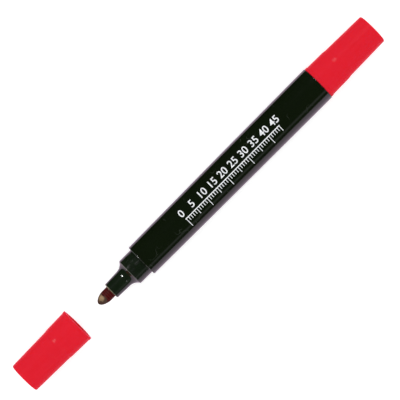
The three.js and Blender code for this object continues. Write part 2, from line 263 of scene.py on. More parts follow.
def add_node(tree, kind, inputs=None, **settings):
    """Adds one node: its settings, then its sockets, each given a value or another node's output."""
    made = tree.nodes.new(kind)
    for setting, value in settings.items():
        setattr(made, setting, value)
    for socket, value in (inputs or {}).items():
        if isinstance(value, bpy.types.NodeSocket):
            tree.links.new(value, made.inputs[socket])
        else:
            made.inputs[socket].default_value = value
    return made


def give_material(piece, name):
    """Gives the piece a new empty material and returns the material's nodes."""
    material = bpy.data.materials.new(name)
    material.use_nodes = True
    material.node_tree.nodes.clear()
    piece.data.materials.clear()
    piece.data.materials.append(material)
    return material.node_tree


def edge_wear(tree, place, edge_x, edge_radius, reach, patch):
    """A mask for a turned edge's wear and painted highlight, from 0 to 1: most on the edge at this x and
    radius and none beyond reach, and uneven in patches of this size, all in mm but edge_x."""
    centred = add_node(tree, "ShaderNodeMapping", {"Vector": place, "Location": (0, 0, -AXIS_Z)})
    across = add_node(
        tree, "ShaderNodeVectorMath", {0: centred.outputs["Vector"], 1: (0, 1, 1)}, operation="MULTIPLY"
    )
    radius = add_node(tree, "ShaderNodeVectorMath", {0: across.outputs[0]}, operation="LENGTH")
    axes = add_node(tree, "ShaderNodeSeparateXYZ", {"Vector": place})
    section = add_node(tree, "ShaderNodeCombineXYZ", {"X": axes.outputs["X"], "Y": radius.outputs["Value"]})
    away = add_node(
        tree,
        "ShaderNodeVectorMath",
        {0: section.outputs["Vector"], 1: (edge_x, edge_radius * MM, 0)},
        operation="DISTANCE",
    )
    near = add_node(
        tree,
        "ShaderNodeMapRange",
        {"Value": away.outputs["Value"], "From Max": reach * MM, "To Min": 1, "To Max": 0},
    )
    patches = add_node(tree, "ShaderNodeTexNoise", {"Vector": place, "Scale": PER_MM / patch, "Detail": 4})
    uneven = add_node(
        tree,
        "ShaderNodeMapRange",
        {"Value": patches.outputs["Fac"], "From Min": 0.35, "From Max": 0.62, "To Min": 0.1, "To Max": 1},
    )
    worn = add_node(
        tree,
        "ShaderNodeMath",
        {0: near.outputs["Result"], 1: uneven.outputs["Result"]},
        operation="MULTIPLY",
    )
    return worn.outputs["Value"]


tree = give_material(barrel, "polypropylene_black_polished")
place = add_node(tree, "ShaderNodeTexCoord").outputs["Object"]
along = add_node(tree, "ShaderNodeMapping", {"Vector": place, "Scale": (0.25, 1, 1)}).outputs["Vector"]
drift = add_node(tree, "ShaderNodeTexNoise", {"Vector": along, "Scale": PER_MM / 7, "Detail": 2})
colour = add_node(
    tree,
    "ShaderNodeMix",
    {"Factor": drift.outputs["Fac"], "A": linear("#0c1408"), "B": linear("#11190b")},
    data_type="RGBA",
)
# Painted highlight and wear: the front rim is painted paler, partly standing for the light its rounded edge
# catches.
rim_wear_and_highlight = edge_wear(
    tree,
    place,
    edge_x=BARREL_X + 0.06 * MM,
    edge_radius=BARREL_FRONT_RADIUS - 0.06,
    reach=0.3,
    patch=2.4,
)
colour = add_node(
    tree,
    "ShaderNodeMix",
    {"Factor": rim_wear_and_highlight, "A": colour.outputs["Result"], "B": linear("#4c5049")},
    data_type="RGBA",
)
contours = add_node(tree, "ShaderNodeTexNoise", {"Vector": place, "Scale": PER_MM / 4, "Detail": 1})
off_line = add_node(tree, "ShaderNodeMath", {0: contours.outputs["Fac"], 1: 0.5}, operation="SUBTRACT")
off_line = add_node(tree, "ShaderNodeMath", {0: off_line.outputs["Value"]}, operation="ABSOLUTE")
scuff_lines = add_node(
    tree,
    "ShaderNodeMapRange",
    {"Value": off_line.outputs["Value"], "From Max": 0.014, "To Min": 0.45, "To Max": 0},
)
knocks = add_node(tree, "ShaderNodeTexNoise", {"Vector": place, "Scale": PER_MM / 6, "Detail": 2})
knocked = add_node(
    tree,
    "ShaderNodeMapRange",
    {"Value": knocks.outputs["Fac"], "From Min": 0.56, "From Max": 0.64},
)
scuffs = add_node(
    tree,
    "ShaderNodeMath",
    {0: scuff_lines.outputs["Result"], 1: knocked.outputs["Result"]},
    operation="MULTIPLY",
)
colour = add_node(
    tree,
    "ShaderNodeMix",
    {"Factor": scuffs.outputs["Value"], "A": colour.outputs["Result"], "B": linear("#4a5148")},
    data_type="RGBA",
)
handled = add_node(tree, "ShaderNodeTexNoise", {"Vector": along, "Scale": PER_MM / 2.2, "Detail": 5})
gloss = add_node(
    tree,
    "ShaderNodeMapRange",
    {"Value": handled.outputs["Fac"], "From Min": 0.45, "From Max": 0.75, "To Min": 0.07, "To Max": 0.13},
)
gloss = add_node(
    tree,
    "ShaderNodeMath",
    {0: rim_wear_and_highlight, 1: 0.3, 2: gloss.outputs["Result"]},
    operation="MULTIPLY_ADD",
)
hairs = add_node(
    tree, "ShaderNodeMapping", {"Vector": place, "Scale": (0.05, 1, 1), "Rotation": (0, 0, 0.06)}
)
scratches = add_node(
    tree,
    "ShaderNodeTexNoise",
    {"Vector": hairs.outputs["Vector"], "Scale": PER_MM / 0.35, "Detail": 2},
)
scratch_depth = add_node(
    tree,
    "ShaderNodeMapRange",
    {"Value": scratches.outputs["Fac"], "From Min": 0.7, "From Max": 0.8, "To Min": 0, "To Max": -1},
)
waves = add_node(tree, "ShaderNodeBump", {"Height": drift.outputs["Fac"], "Distance": 0.02 * MM})
relief = add_node(
    tree,
    "ShaderNodeBump",
    {"Height": scratch_depth.outputs["Result"], "Distance": 0.003 * MM, "Normal": waves.outputs["Normal"]},
)
shader = add_node(
    tree,
    "ShaderNodeBsdfPrincipled",
    {
        "Base Color": colour.outputs["Result"],
        "Roughness": gloss.outputs["Value"],
        "IOR": 1.49,
        "Normal": relief.outputs["Normal"],
    },
)
add_node(tree, "ShaderNodeOutputMaterial", {"Surface": shader.outputs["BSDF"]})


# Printed scale
# A plain millimetre scale, pad printed along the top of the barrel in white ink: a rule, marks below it
# and a number at every fifth millimetre above it. The ink is a film that stands just proud of the barrel.
SCALE_START = 21.2  # behind the barrel's front edge
SCALE_LENGTH = 45
RULE_Y = -0.72
RULE_WIDTH = 0.32
RULE_OVERHANG = 0.3
MARK_WIDTH = 0.24
MARK_LENGTHS = {1: 1.3, 5: 2.1, 10: 3.1}  # of the marks at every so many millimetres
NUMBER_EVERY = 5
NUMBER_BASE_Y = 0.45
NUMBER_SIZE = 3.8
NUMBER_SWELL = 0.04  # makes its strokes bolder
NUMBER_CURVE_STEPS = 4
INK_LIFT = 0.014
INK_THICKNESS = 0.02
CUT_WIDTH = 9.0  # wider than the artwork
CUT_STEP = 0.3  # width of the strips that bend round the barrel
ABOVE = barrel_high[2] + 2 * MM  # the flat artwork is drawn here, then laid down on the barrel

scale_x = BARREL_X + SCALE_START * MM
artwork = []


def draw_bar(x, y, length, width):
    """One bar of the artwork, in mm, its middle at x behind the scale's zero and y across the barrel."""
    deselect_everything()
    bpy.ops.mesh.primitive_plane_add(size=1, location=(scale_x + x * MM, y * MM, ABOVE))
    bar = bpy.context.object
    bar.scale = (length * MM, width * MM, 1)
    bpy.ops.object.transform_apply(location=True, rotation=True, scale=True)
    artwork.append(bar)


draw_bar(SCALE_LENGTH / 2, RULE_Y, SCALE_LENGTH + 2 * RULE_OVERHANG, RULE_WIDTH)
for mark in range(SCALE_LENGTH + 1):
    mark_length = MARK_LENGTHS[max(step for step in MARK_LENGTHS if mark % step == 0)]
    draw_bar(mark, RULE_Y - RULE_WIDTH / 2 - mark_length / 2, MARK_WIDTH, mark_length)
for number in range(0, SCALE_LENGTH + 1, NUMBER_EVERY):
    deselect_everything()
    bpy.ops.object.text_add()
    figure = bpy.context.object
    figure.data.body = str(number)
    figure.data.size = NUMBER_SIZE * MM
    figure.data.align_x = "CENTER"
    figure.data.offset = NUMBER_SWELL * MM
    figure.data.resolution_u = NUMBER_CURVE_STEPS
    bpy.ops.object.convert(target="MESH")
    figure = bpy.context.object
    figure.location = (scale_x + number * MM, NUMBER_BASE_Y * MM, ABOVE)
    bpy.ops.object.transform_apply(location=True, rotation=True, scale=True)
    artwork.append(figure)

deselect_everything()
for drawn in artwork:
    drawn.select_set(True)
ink = artwork[0]
bpy.context.view_layer.objects.active = ink
bpy.ops.object.join()
ink.name = ink.data.name = "barrel_print"
bpy.ops.object.mode_set(mode="EDIT")
bpy.ops.mesh.select_all(action="SELECT")
bpy.ops.mesh.remove_doubles(threshold=1e-7)
for cut in range(int(CUT_WIDTH / CUT_STEP) + 1):
    bpy.ops.mesh.select_all(action="SELECT")
    bpy.ops.mesh.bisect(plane_co=(0, (cut * CUT_STEP - CUT_WIDTH / 2) * MM, 0), plane_no=(0, 1, 0))
for cut in range(1, SCALE_LENGTH // NUMBER_EVERY):
    bpy.ops.mesh.select_all(action="SELECT")
    bpy.ops.mesh.bisect(plane_co=(scale_x + (cut - 0.5) * NUMBER_EVERY * MM, 0, 0), plane_no=(1, 0, 0))
bpy.ops.mesh.select_all(action="SELECT")
bpy.ops.mesh.normals_make_consistent(inside=False)
bpy.ops.object.mode_set(mode="OBJECT")
apply_modifier(
    ink,
    "SHRINKWRAP",
    target=barrel,
    wrap_method="PROJECT",
    use_project_z=True,
    use_negative_direction=True,
    use_positive_direction=False,
    offset=INK_LIFT * MM,
)
apply_modifier(ink, "SOLIDIFY", thickness=INK_THICKNESS * MM, offset=-1)
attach(ink, "marker")

# White pad-printing ink, matt and a little cold. Hands have rubbed it thinner in small specks, which let the
# black through as a soft grey.
tree = give_material(ink, "ink_white_pad_printed")
place = add_node(tree, "ShaderNodeTexCoord").outputs["Object"]
specks = add_node(tree, "ShaderNodeTexNoise", {"Vector": place, "Scale": PER_MM / 0.6, "Detail": 4})
cover = add_node(
    tree,
    "ShaderNodeMapRange",
    {"Value": specks.outputs["Fac"], "From Min": 0.3, "From Max": 0.55},
)
colour = add_node(
    tree,
    "ShaderNodeMix",
    {"Factor": cover.outputs["Result"], "A": linear("#d0d5da"), "B": linear("#fafcff")},
    data_type="RGBA",
)
relief = add_node(tree, "ShaderNodeBump", {"Height": specks.outputs["Fac"], "Distance": 0.01 * MM})
shader = add_node(
    tree,
    "ShaderNodeBsdfPrincipled",
    {"Base Color": colour.outputs["Result"], "Roughness": 0.6, "Normal": relief.outputs["Normal"]},
)
add_node(tree, "ShaderNodeOutputMaterial", {"Surface": shader.outputs["BSDF"]})


# Nose section
# One black polypropylene moulding, pushed in from the barrel's rear until its skirt meets the lip. The
# nozzle, the hollow flare and the collar that the cap grips stand out in front, and a sleeve holds the nib.
nose_low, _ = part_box("nose_section")
NOSE_X = nose_low[0]
NOZZLE_MOUTH = 2.3
NOZZLE_RIM = 3.15
NOZZLE_FOOT = 3.33
NOZZLE_LENGTH = 5.8
FLARE_LENGTH = 3.3
FLARE_STATIONS = 14
COLLAR_RADIUS = 5.33
COLLAR_EDGE = 0.14
COLLAR_REAR = 16.85
SKIRT_RADIUS = 5.51
SKIRT_INSIDE = 4.56
SKIRT_REAR = 26.4
POCKET_FRONT = 10.5
SLEEVE_RADIUS = 3.15
SLEEVE_REAR = 24.0
NIB_BORE = 2.6
NIB_BORE_FRONT = 1.4
GRIP_RIBS = 6
GRIP_RIB_WIDTH = 0.7
GRIP_RIB_INSIDE = 2.25
GRIP_RIB_ROOT = 2.87
GRIP_RIB_FRONT = 0.7
GRIP_RIB_REAR = 23.3
NOZZLE_EDGE = 0.22  # softened widths
FINE_EDGE = 0.06
SKIRT_EDGE = 0.2
SLEEVE_EDGE = 0.1

flare_rise = COLLAR_RADIUS - COLLAR_EDGE - NOZZLE_FOOT
flare_radius = (FLARE_LENGTH**2 + flare_rise**2) / (2 * flare_rise)
flare_turn = asin(FLARE_LENGTH / flare_radius)
nose_outline = [(0, NOZZLE_MOUTH), (0, NOZZLE_RIM)]
for station in range(FLARE_STATIONS + 1):
    angle = flare_turn * station / FLARE_STATIONS
    flare_depth = NOZZLE_LENGTH + flare_radius * sin(angle)
    nose_outline.append((flare_depth, NOZZLE_FOOT + flare_radius * (1 - cos(angle))))
nose_outline += [
    (NOZZLE_LENGTH + FLARE_LENGTH + COLLAR_EDGE, COLLAR_RADIUS),
    (COLLAR_REAR, COLLAR_RADIUS),
    (COLLAR_REAR, SKIRT_RADIUS),
    (SKIRT_REAR, SKIRT_RADIUS),
    (SKIRT_REAR, SKIRT_INSIDE),
    (POCKET_FRONT, SKIRT_INSIDE),
    (POCKET_FRONT, SLEEVE_RADIUS),
    (SLEEVE_REAR, SLEEVE_RADIUS),
    (SLEEVE_REAR, NIB_BORE),
    (NIB_BORE_FRONT, NIB_BORE),
    (NIB_BORE_FRONT, NOZZLE_MOUTH),
]
nose = turn(
    "nose_moulding",
    NOSE_X,
    nose_outline,
    rounds=[
        (0, NOZZLE_RIM, NOZZLE_EDGE),
        (0, NOZZLE_MOUTH, FINE_EDGE),
        (NOZZLE_LENGTH + FLARE_LENGTH + COLLAR_EDGE, COLLAR_RADIUS, FINE_EDGE),
        (SKIRT_REAR, SKIRT_RADIUS, SKIRT_EDGE),
        (SLEEVE_REAR, SLEEVE_RADIUS, SLEEVE_EDGE),
    ],
)
add_bore_ribs(
    nose,
    count=GRIP_RIBS,
    width=GRIP_RIB_WIDTH,
    inside=GRIP_RIB_INSIDE,
    root=GRIP_RIB_ROOT,
    front_x=NOSE_X + GRIP_RIB_FRONT * MM,
    rear_x=NOSE_X + GRIP_RIB_REAR * MM,
)
finish_surface(nose)
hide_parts("nose_section")
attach(nose, "marker")

# The same black polypropylene, a little less polished than the barrel. Where the cap's bead rubs the
# collar it has gone satin in short streaks, which catch the light as soft pale smudges. The front edges of
# collar and nozzle are painted pale, partly wear and partly a painted highlight, stronger on the far side
# where the lamps shine, the nozzle's in a warmer tone.
COLLAR_X = NOSE_X + (NOZZLE_LENGTH + FLARE_LENGTH) * MM
RUB_START = 0.6 * MM  # behind the collar's edge, where the rubbing is in full
tree = give_material(nose, "polypropylene_black_rubbed")
place = add_node(tree, "ShaderNodeTexCoord").outputs["Object"]
axes = add_node(tree, "ShaderNodeSeparateXYZ", {"Vector": place})
drift = add_node(tree, "ShaderNodeTexNoise", {"Vector": place, "Scale": PER_MM / 3, "Detail": 2})
colour = add_node(
    tree,
    "ShaderNodeMix",
    {"Factor": drift.outputs["Fac"], "A": linear("#0f190d"), "B": linear("#182315")},
    data_type="RGBA",
)
# Painted highlight: the far side, where the lamps shine, gets the pale edges in full, the near side less than
# half.
lit_side = add_node(
    tree,
    "ShaderNodeMapRange",
    {"Value": axes.outputs["Y"], "From Min": -1.5 * MM, "From Max": 0.5 * MM, "To Min": 0.45, "To Max": 1},
)
collar_wear_and_highlight = edge_wear(
    tree, place, edge_x=COLLAR_X + 0.07 * MM, edge_radius=COLLAR_RADIUS - 0.07, reach=0.26, patch=1.8
)
nozzle_wear_and_highlight = edge_wear(
    tree, place, edge_x=NOSE_X + 0.05 * MM, edge_radius=NOZZLE_RIM - 0.1, reach=0.34, patch=0.9
)
# The pale edges of collar and nozzle: partly wear, partly painted highlight.
for edge_mark, pale_edge_colour in ((collar_wear_and_highlight, "#85837e"), (nozzle_wear_and_highlight, "#b9b092")):
    lit_side_mark = add_node(
        tree, "ShaderNodeMath", {0: edge_mark, 1: lit_side.outputs["Result"]}, operation="MULTIPLY"
    )
    colour = add_node(
        tree,
        "ShaderNodeMix",
        {"Factor": lit_side_mark.outputs["Value"], "A": colour.outputs["Result"], "B": linear(pale_edge_colour)},
        data_type="RGBA",
    )
on_collar = add_node(
    tree,
    "ShaderNodeMapRange",
    {"Value": axes.outputs["X"], "From Min": COLLAR_X, "From Max": COLLAR_X + RUB_START},
)
satin = add_node(
    tree, "ShaderNodeMapRange", {"Value": on_collar.outputs["Result"], "To Min": 0.13, "To Max": 0.14}
)
streaked = add_node(tree, "ShaderNodeMapping", {"Vector": place, "Scale": (0.45, 1, 1)})
rubbing = add_node(
    tree,
    "ShaderNodeTexNoise",
    {"Vector": streaked.outputs["Vector"], "Scale": PER_MM / 1.3, "Detail": 5, "Roughness": 0.6},
)
rub_and_sheen = add_node(
    tree,
    "ShaderNodeMapRange",
    {"Value": rubbing.outputs["Fac"], "From Min": 0.52, "From Max": 0.64},
)
worn = add_node(
    tree,
    "ShaderNodeMath",
    {0: rub_and_sheen.outputs["Result"], 1: on_collar.outputs["Result"]},
    operation="MULTIPLY",
)
gloss = add_node(
    tree,
    "ShaderNodeMapRange",
    {"Value": worn.outputs["Value"], "To Min": satin.outputs["Result"], "To Max": 0.3},
)
relief = add_node(tree, "ShaderNodeBump", {"Height": rubbing.outputs["Fac"], "Distance": 0.008 * MM})
shader = add_node(
    tree,
    "ShaderNodeBsdfPrincipled",
    {
        "Base Color": colour.outputs["Result"],
        "Roughness": gloss.outputs["Result"],
        "IOR": 1.49,
        "Normal": relief.outputs["Normal"],
    },
)
add_node(tree, "ShaderNodeOutputMaterial", {"Surface": shader.outputs["BSDF"]})


# Nib
# A rod of bonded polyester fibre, ground to a bullet point and pushed through the nose section until its
# bevelled tail bites into the reservoir. Ink has soaked it through and has dried on its point.
nib_low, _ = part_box("nib")
NIB_X = nib_low[0]
NIB_RADIUS = 2.2
POINT_LENGTH = 3.8
POINT_FULLNESS = 1.6  # 2 would be an ellipse
POINT_STATIONS = 26
NIB_LENGTH = 41.0
TAIL_LENGTH = 2.0
TAIL_RADIUS = 0.9

nib_outline = []
for station in range(POINT_STATIONS + 1):
    share = (station / POINT_STATIONS) ** 2
    nib_outline.append((POINT_LENGTH * share, NIB_RADIUS * sqrt(1 - (1 - share) ** POINT_FULLNESS)))
nib_outline += [
    (NIB_LENGTH - TAIL_LENGTH, NIB_RADIUS),
    (NIB_LENGTH, TAIL_RADIUS),
    (NIB_LENGTH, 0),
]
nib = turn("nib_rod", NIB_X, nib_outline)
finish_surface(nib)
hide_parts("nib")
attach(nib, "marker")

# Bonded polyester fibre full of dark red ink. The real fibres are about 0.03 mm across; they are drawn at
# 0.2 mm so that the streaks along the rod show. The point is coated with dried brown ink, with a tan patch
# high on its far side that is a painted highlight for the ink's sheen under the lamps, and the grinding
# wheel has left faint rings behind it.
SHEEN_X, SHEEN_Y, SHEEN_Z = 2.2, 0.8, 1.75  # middle of the painted sheen patch, a painted highlight, from the tip and the axis
SHEEN_BLUR = 2.2  # how far the blotches push its edge
DRIED_LENGTH = 3.15  # of the dried coat, from the tip
DRIED_FADE = 0.2  # to each side
DRIED_WANDER = 0.5
tree = give_material(nib, "fibre_bonded_inked")
place = add_node(tree, "ShaderNodeTexCoord").outputs["Object"]
axes = add_node(tree, "ShaderNodeSeparateXYZ", {"Vector": place})
lengthwise = add_node(tree, "ShaderNodeMapping", {"Vector": place, "Scale": (0.08, 1, 1)})
fibres = add_node(
    tree,
    "ShaderNodeTexNoise",
    {"Vector": lengthwise.outputs["Vector"], "Scale": PER_MM / 0.2, "Detail": 3, "Roughness": 0.6},
)
rings = add_node(
    tree,
    "ShaderNodeTexWave",
    {"Vector": place, "Scale": PER_MM / 2.3, "Distortion": 2, "Detail": 2, "Detail Scale": 2},
    bands_direction="X",
)
streaks = add_node(
    tree,
    "ShaderNodeMath",
    {0: rings.outputs["Fac"], 1: 1.5, 2: fibres.outputs["Fac"]},
    operation="MULTIPLY_ADD",
)
soaking = add_node(
    tree,
    "ShaderNodeMapRange",
    {"Value": streaks.outputs["Value"], "From Min": 0.45, "From Max": 2.1},
)
crimson = add_node(
    tree,
    "ShaderNodeMix",
    {"Factor": soaking.outputs["Result"], "A": linear("#1c0504"), "B": linear("#671413")},
    data_type="RGBA",
)
blotches = add_node(tree, "ShaderNodeTexNoise", {"Vector": place, "Scale": PER_MM / 1.0, "Detail": 3})
from_sheen = add_node(
    tree,
    "ShaderNodeVectorMath",
    {0: place, 1: (NIB_X + SHEEN_X * MM, SHEEN_Y * MM, AXIS_Z + SHEEN_Z * MM)},
    operation="DISTANCE",
)
blurred = add_node(
    tree,
    "ShaderNodeMath",
    {0: blotches.outputs["Fac"], 1: -SHEEN_BLUR * MM, 2: from_sheen.outputs["Value"]},
    operation="MULTIPLY_ADD",
)
# Painted highlight: the tan sheen patch, fading out from its middle with blotchy edges.
rub_and_sheen = add_node(
    tree,
    "ShaderNodeMapRange",
    {
        "Value": blurred.outputs["Value"],
        "From Min": -SHEEN_BLUR / 2 * MM,
        "From Max": 0.4 * MM,
        "To Min": 1,
        "To Max": 0,
    },
)
# The dried ink's brown, with the painted tan sheen mixed in.
dried_coat_and_sheen = add_node(
    tree,
    "ShaderNodeMix",
    {"Factor": rub_and_sheen.outputs["Result"], "A": linear("#4c3a30"), "B": linear("#b0946f")},
    data_type="RGBA",
)
wander = add_node(
    tree,
    "ShaderNodeMapRange",
    {
        "Value": blotches.outputs["Fac"],
        "From Min": 0.3,
        "From Max": 0.7,
        "To Min": -DRIED_WANDER * MM,
        "To Max": DRIED_WANDER * MM,
    },
)
coat_edge = add_node(
    tree, "ShaderNodeMath", {0: axes.outputs["X"], 1: wander.outputs["Result"]}, operation="ADD"
)
coat = add_node(
    tree,
    "ShaderNodeMapRange",
    {
        "Value": coat_edge.outputs["Value"],
        "From Min": NIB_X + (DRIED_LENGTH - DRIED_FADE) * MM,
        "From Max": NIB_X + (DRIED_LENGTH + DRIED_FADE) * MM,
        "To Min": 1,
        "To Max": 0,
    },
)
colour = add_node(
    tree,
    "ShaderNodeMix",
    {"Factor": coat.outputs["Result"], "A": crimson.outputs["Result"], "B": dried_coat_and_sheen.outputs["Result"]},
    data_type="RGBA",
)
ground = add_node(
    tree, "ShaderNodeBump", {"Height": rings.outputs["Fac"], "Distance": 0.02 * MM, "Strength": 0.5}
)
relief = add_node(
    tree,
    "ShaderNodeBump",
    {"Height": fibres.outputs["Fac"], "Distance": 0.06 * MM, "Normal": ground.outputs["Normal"]},
)
shader = add_node(
    tree,
    "ShaderNodeBsdfPrincipled",
    {
        "Base Color": colour.outputs["Result"],
        "Roughness": 0.5,
        "Specular IOR Level": 0.06,
        "Normal": relief.outputs["Normal"],
    },
)
add_node(tree, "ShaderNodeOutputMaterial", {"Surface": shader.outputs["BSDF"]})


# Ink reservoir
# A cylinder of soft crimped polyester fibre that holds the ink, cut to length and pushed into the barrel
# from behind. The nib's tail sits in the socket that it has pressed into the front face.
core_low, core_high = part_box("ink_reservoir")
CORE_RADIUS = 4.98
CORE_LENGTH = (core_high[0] - core_low[0]) / MM
CORE_EDGE = 0.35  # softened widths
SOCKET_RADIUS = 2.3
SOCKET_DEPTH = 8.2
SOCKET_EDGE = 0.3

core = turn(
    "fibre_core",
    core_low[0],
    [
        (SOCKET_DEPTH, 0),
        (SOCKET_DEPTH, SOCKET_RADIUS),
        (0, SOCKET_RADIUS),
        (0, CORE_RADIUS),
        (CORE_LENGTH, CORE_RADIUS),
        (CORE_LENGTH, 0),
    ],
    rounds=[
        (0, CORE_RADIUS, CORE_EDGE),
        (0, SOCKET_RADIUS, SOCKET_EDGE),
        (CORE_LENGTH, CORE_RADIUS, CORE_EDGE),
    ],
)
finish_surface(core)
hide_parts("ink_reservoir")
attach(core, "marker")

# Polyester fibre wadding soaked with red ink: matt and fuzzy, paler where the ink has drained. The fibres
# run lengthwise and are drawn 0.3 mm across, ten times their real size, so that they show.
tree = give_material(core, "fibre_wadding_inked")
place = add_node(tree, "ShaderNodeTexCoord").outputs["Object"]
lengthwise = add_node(tree, "ShaderNodeMapping", {"Vector": place, "Scale": (0.05, 1, 1)})
fibres = add_node(
    tree,
    "ShaderNodeTexNoise",
    {"Vector": lengthwise.outputs["Vector"], "Scale": PER_MM / 0.3, "Detail": 4, "Roughness": 0.6},
)
soaked = add_node(tree, "ShaderNodeTexNoise", {"Vector": place, "Scale": PER_MM / 8, "Detail": 2})
shade = add_node(
    tree, "ShaderNodeMath", {0: fibres.outputs["Fac"], 1: soaked.outputs["Fac"]}, operation="MULTIPLY"
)
reach = add_node(
    tree,
    "ShaderNodeMapRange",
    {"Value": shade.outputs["Value"], "From Min": 0.12, "From Max": 0.42},
)
colour = add_node(
    tree,
    "ShaderNodeMix",
    {"Factor": reach.outputs["Result"], "A": linear("#7a0f1c"), "B": linear("#c23a48")},
    data_type="RGBA",
)
relief = add_node(tree, "ShaderNodeBump", {"Height": fibres.outputs["Fac"], "Distance": 0.1 * MM})
shader = add_node(
    tree,
    "ShaderNodeBsdfPrincipled",
    {
        "Base Color": colour.outputs["Result"],
        "Roughness": 0.9,
        "Sheen Weight": 0.3,
        "Normal": relief.outputs["Normal"],
    },
)
add_node(tree, "ShaderNodeOutputMaterial", {"Surface": shader.outputs["BSDF"]})


# Reservoir wrap
# A sleeve of thin polypropylene film, drawn round the fibre and welded along one lengthwise seam. It keeps
# the wadding round and lets it slide into the ribbed bore.
wrap_low, wrap_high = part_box("reservoir_wrap")
WRAP_RADIUS = 5.18
WRAP_INSIDE = 5.03
WRAP_LENGTH = (wrap_high[0] - wrap_low[0]) / MM
WRAP_EDGE = 0.04  # softened width
SEAM_HALF_ANGLE = radians(4)
SEAM_RISE = 1.012  # times the film's radius
SEAM_FACE_AREA = 1 * MM * MM  # less than a face of the tube, and more than one of its softened ends

wrap = turn(
    "film_wrap",
    wrap_low[0],
    [(0, WRAP_RADIUS), (WRAP_LENGTH, WRAP_RADIUS), (WRAP_LENGTH, WRAP_INSIDE), (0, WRAP_INSIDE)],
    rounds=[(0, WRAP_RADIUS, WRAP_EDGE), (WRAP_LENGTH, WRAP_RADIUS, WRAP_EDGE)],
)
bpy.ops.object.mode_set(mode="EDIT")
bpy.ops.mesh.select_mode(type="FACE")
bpy.ops.mesh.select_all(action="DESELECT")
film = bmesh.from_edit_mesh(wrap.data)
for face in film.faces:
    middle = face.calc_center_median()
    on_top = middle.z > AXIS_Z and face.normal.z > 0
    on_seam = abs(middle.y) < WRAP_RADIUS * MM * sin(SEAM_HALF_ANGLE)
    face.select_set(on_top and on_seam and face.calc_area() > SEAM_FACE_AREA)
bmesh.update_edit_mesh(wrap.data)
bpy.ops.mesh.extrude_region_move()
bpy.ops.transform.resize(value=(1, SEAM_RISE, SEAM_RISE), center_override=(0, 0, AXIS_Z))
bpy.ops.object.mode_set(mode="OBJECT")
finish_surface(wrap)
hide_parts("reservoir_wrap")
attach(wrap, "marker")

# Cast polypropylene film: milky, half glossy and finely creased, stained pink where ink wets it from
# inside. The creases are drawn about 1.5 mm apart.
tree = give_material(wrap, "polypropylene_film_milky")
place = add_node(tree, "ShaderNodeTexCoord").outputs["Object"]
stains = add_node(tree, "ShaderNodeTexNoise", {"Vector": place, "Scale": PER_MM / 6, "Detail": 3})
stained = add_node(
    tree,
    "ShaderNodeMapRange",
    {"Value": stains.outputs["Fac"], "From Min": 0.35, "From Max": 0.7},
)
colour = add_node(
    tree,
    "ShaderNodeMix",
    {"Factor": stained.outputs["Result"], "A": linear("#eae3e2"), "B": linear("#dc9aa2")},
    data_type="RGBA",
)
creases = add_node(
    tree, "ShaderNodeTexVoronoi", {"Vector": place, "Scale": PER_MM / 1.5}, feature="DISTANCE_TO_EDGE"
)
relief = add_node(tree, "ShaderNodeBump", {"Height": creases.outputs["Distance"], "Distance": 0.03 * MM})
shader = add_node(
    tree,
    "ShaderNodeBsdfPrincipled",
    {"Base Color": colour.outputs["Result"], "Roughness": 0.33, "Normal": relief.outputs["Normal"]},
)
add_node(tree, "ShaderNodeOutputMaterial", {"Surface": shader.outputs["BSDF"]})


# Rear plug
# A hollow cup of red polypropylene, injection moulded through a gate in its closed end. Its spigot is
# pressed into the barrel's rear for good, and outside it repeats the cap: a rim, a soft step, a taper.
PLUG_SPIGOT_LENGTH = 8.35  # in front of its mouth
plug_low, plug_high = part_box("rear_plug")
PLUG_X = plug_low[0] + PLUG_SPIGOT_LENGTH * MM
PLUG_LENGTH = (plug_high[0] - PLUG_X) / MM
PLUG_BORE = 4.835
PLUG_BORE_END = 4.685
PLUG_END_WALL = 1.7
SPIGOT_RADIUS = 5.835
SPIGOT_CHAMFER = 0.3

RIM_RADIUS = 6.66
RIM_WIDTH = 1.0
RIM_STEP = 0.12
STEP_DEPTH = 8.4
STEP_WIDTH = 2.0  # a soft one, an S in section
STEP_STATIONS = 8
STEP_HEIGHT = 0.16
FRONT_TAPER = 0.14
REAR_TAPER = 0.34
RIM_EDGE = 0.15  # softened widths
RIM_STEP_EDGE = 0.05
END_ROUND = 0.55
GATE_EDGE = 0.08
GATE_DISH = [(0, 1.9), (0.22, 1.75), (0.22, 0.55), (0.08, 0.42)]  # the sunk gate, from the end's face inward


def form_radius(depth, length):
    """Outer radius of the plug's and the cap's common form behind the rim, in mm."""
    if depth <= STEP_DEPTH:
        return RIM_RADIUS - RIM_STEP - FRONT_TAPER * depth / STEP_DEPTH
    way = min((depth - STEP_DEPTH) / STEP_WIDTH, 1)
    sunk = STEP_HEIGHT * way * way * (3 - 2 * way)
    share = (depth - STEP_DEPTH) / (length - STEP_DEPTH)
    return RIM_RADIUS - RIM_STEP - FRONT_TAPER - sunk - REAR_TAPER * share


def common_form(length):
    """Outline of the plug's and the cap's common outside, from the mouth to the closed end's middle."""
    outside = [
        (0, RIM_RADIUS),
        (RIM_WIDTH, RIM_RADIUS),
        (RIM_WIDTH + RIM_STEP, form_radius(RIM_WIDTH, length)),
    ]
    for station in range(STEP_STATIONS + 1):
        depth = STEP_DEPTH + STEP_WIDTH * station / STEP_STATIONS
        outside.append((depth, form_radius(depth, length)))
    outside.append((length, form_radius(length, length)))
    gate = [(length - sunk, radius) for sunk, radius in GATE_DISH]
    return [*outside, *gate, (gate[-1][0], 0)]


def common_rounds(length):
    """Corners of the plug's and the cap's common outside that are softened."""
    return [
        (0, RIM_RADIUS, RIM_EDGE),
        (RIM_WIDTH, RIM_RADIUS, RIM_STEP_EDGE),
        (length, form_radius(length, length), END_ROUND),
        (length, GATE_DISH[0][1], GATE_EDGE),
    ]


